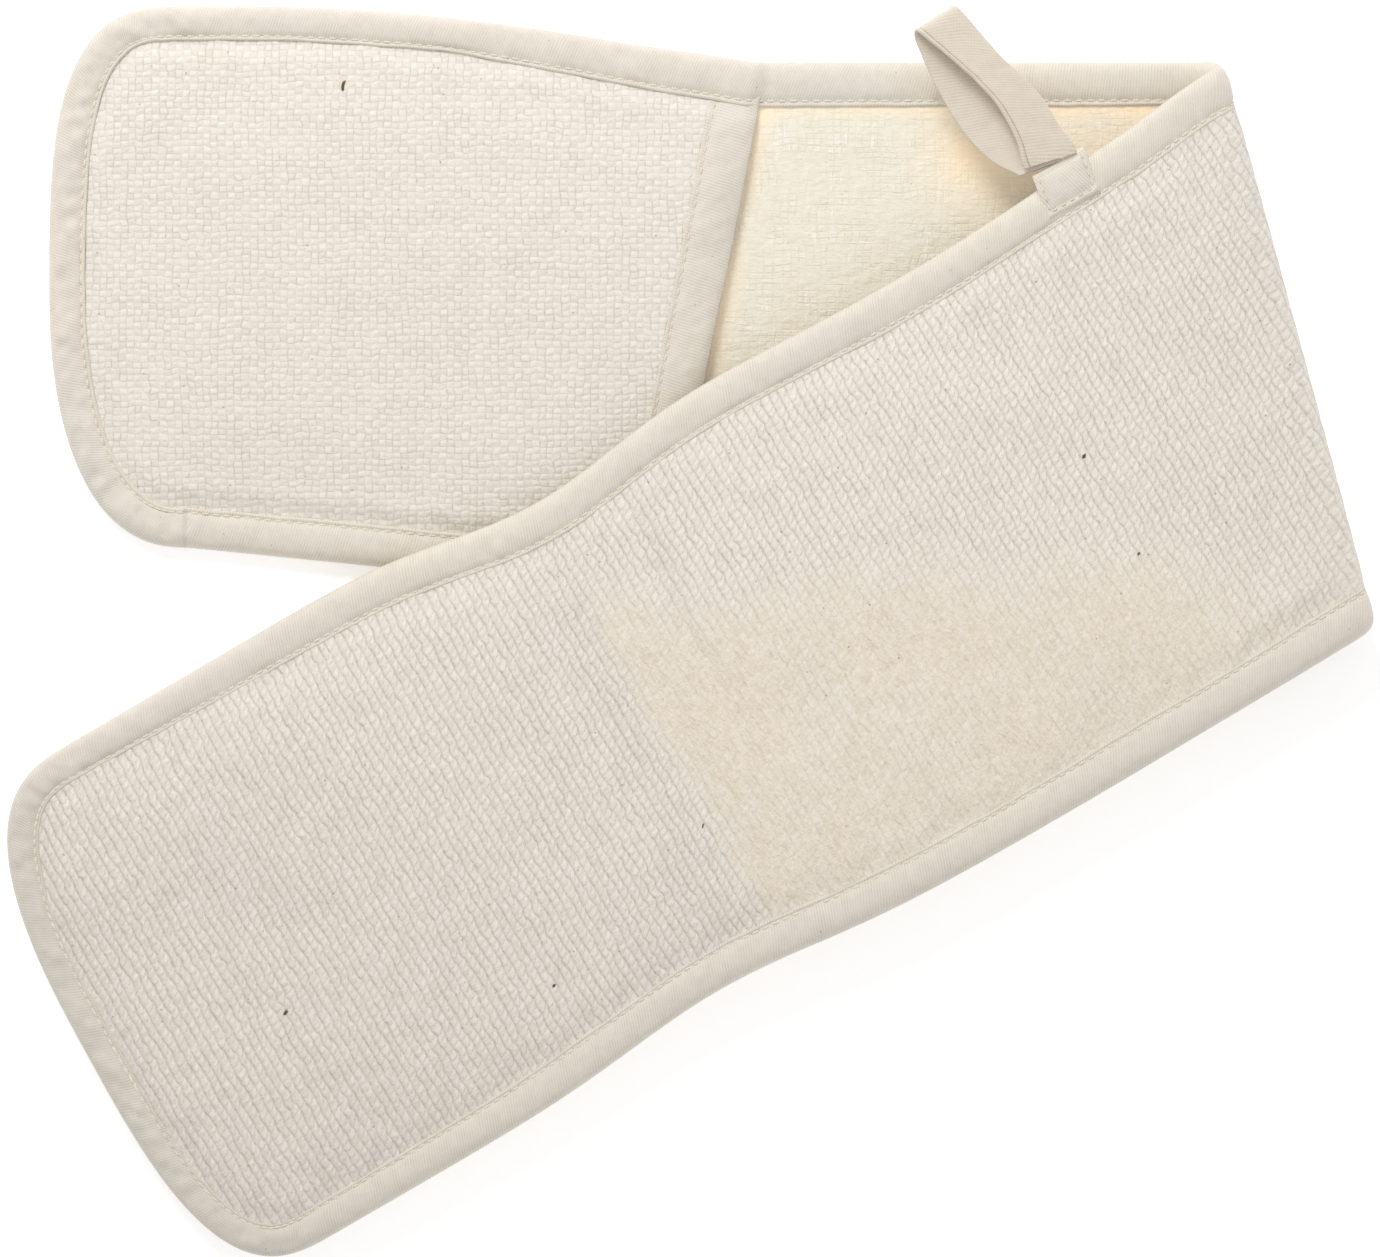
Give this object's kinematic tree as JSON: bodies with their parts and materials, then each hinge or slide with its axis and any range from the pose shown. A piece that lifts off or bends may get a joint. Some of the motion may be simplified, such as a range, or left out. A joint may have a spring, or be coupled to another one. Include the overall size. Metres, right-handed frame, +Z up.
{
  "type": "back scrubbing strap",
  "caption": "Long bound strip of coarse woven loofah cloth with a soft lining, a hand pocket at each end and a hanging loop, folded over once.",
  "frame": {"origin": "on the underside of the lower limb, at the middle of its width near the pocket's mouth", "axes": "+X along the lower limb towards the fold, +Y across it towards the hanging loop's side, +Z up from the ground"},
  "size_m": [0.3749, 0.3422, 0.0195],
  "materials": {
    "outer_weave": "coarse ribbed loofah and cotton weave, matt, raised ribs across the strap",
    "lining_cloth": "soft looped cotton lining, matt",
    "pocket_weave": "coarse plain basket weave, matt",
    "binding_tape": "fine plain-woven cotton tape, soft sheen",
    "sewing_thread": "twisted cotton sewing thread",
    "loop_tape": "fine twill cotton tape, slightly darker"
  },
  "bodies": {
    "limb_a": {"outer_panel_limb_a": "outer_weave", "lining_limb_a": "lining_cloth", "pocket_panel_limb_a": "pocket_weave", "edge_binding_limb_a": "binding_tape", "topstitch_limb_a": "sewing_thread", "mouth_binding_a": "binding_tape", "mouth_stitch_a": "sewing_thread"},
    "end_a": {"outer_panel_end_a": "outer_weave", "lining_end_a": "lining_cloth", "pocket_panel_end_a": "pocket_weave", "edge_binding_end_a": "binding_tape", "topstitch_end_a": "sewing_thread"},
    "lip_a": {"pocket_lip_a": "pocket_weave", "mouth_binding_lip_a": "binding_tape", "mouth_stitch_lip_a": "sewing_thread"},
    "fold_1": {"outer_panel_fold_1": "outer_weave", "lining_fold_1": "lining_cloth", "edge_binding_fold_1": "binding_tape", "topstitch_fold_1": "sewing_thread"},
    "fold_2": {"outer_panel_fold_2": "outer_weave", "lining_fold_2": "lining_cloth", "edge_binding_fold_2": "binding_tape", "topstitch_fold_2": "sewing_thread"},
    "fold_3": {"outer_panel_fold_3": "outer_weave", "lining_fold_3": "lining_cloth", "edge_binding_fold_3": "binding_tape", "topstitch_fold_3": "sewing_thread"},
    "limb_b": {"outer_panel_limb_b": "outer_weave", "lining_limb_b": "lining_cloth", "edge_binding_limb_b": "binding_tape", "topstitch_limb_b": "sewing_thread", "loop_tab": "loop_tape", "loop_stitch": "sewing_thread"},
    "end_b": {"outer_panel_end_b": "outer_weave", "lining_end_b": "lining_cloth", "pocket_panel_end_b": "pocket_weave", "edge_binding_end_b": "binding_tape", "topstitch_end_b": "sewing_thread", "mouth_binding_b": "binding_tape", "mouth_stitch_b": "sewing_thread"},
    "lip_b": {"pocket_lip_b": "pocket_weave", "mouth_binding_lip_b": "binding_tape", "mouth_stitch_lip_b": "sewing_thread"},
    "loop": {"hanging_loop": "loop_tape"}
  },
  "joints": [
    {"name": "fold_open", "type": "hinge", "parent": "limb_a", "child": "fold_1", "pos_m": [0.16758, 0.00078, 0.002], "axis": [-0.2608, 0.9654, 0], "range_deg": [0, 45]},
    {"name": "fold_open_2", "type": "hinge", "parent": "fold_1", "child": "fold_2", "pos_m": [0.17165, 0.00188, 0.00622], "axis": [-0.2608, 0.9654, 0], "range_deg": [0, 45]},
    {"name": "fold_open_3", "type": "hinge", "parent": "fold_2", "child": "fold_3", "pos_m": [0.17165, 0.00188, 0.01218], "axis": [-0.2608, 0.9654, 0], "range_deg": [0, 45]},
    {"name": "fold_open_4", "type": "hinge", "parent": "fold_3", "child": "limb_b", "pos_m": [0.16758, 0.00078, 0.0164], "axis": [-0.2608, 0.9654, 0], "range_deg": [0, 45]},
    {"name": "end_b_curl", "type": "hinge", "parent": "limb_b", "child": "end_b", "pos_m": [0.03197, -0.08458, 0.0188], "axis": [0.4295, -0.903, 0], "range_deg": [-90, 0]},
    {"name": "end_a_curl", "type": "hinge", "parent": "limb_a", "child": "end_a", "pos_m": [-0.102, 0.018, 0.0104], "axis": [0, 1, 0], "range_deg": [0, 90]},
    {"name": "pocket_a_open", "type": "hinge", "parent": "limb_a", "child": "lip_a", "pos_m": [-0.076, 0, 0.009], "axis": [0, -1, 0], "range_deg": [0, 15], "stiffness_Nm_per_rad": 0.05},
    {"name": "pocket_b_open", "type": "hinge", "parent": "end_b", "child": "lip_b", "pos_m": [-0.07041, -0.14431, 0.00465], "axis": [-0.5036, 0.864, -0.0034], "range_deg": [0, 15], "stiffness_Nm_per_rad": 0.1},
    {"name": "loop_swing", "type": "hinge", "parent": "limb_b", "child": "loop", "pos_m": [0.1095, 0.0489, 0.0196], "axis": [-0.8639, -0.5036, 0], "range_deg": [-160, 8], "stiffness_Nm_per_rad": 0.004}
  ]
}
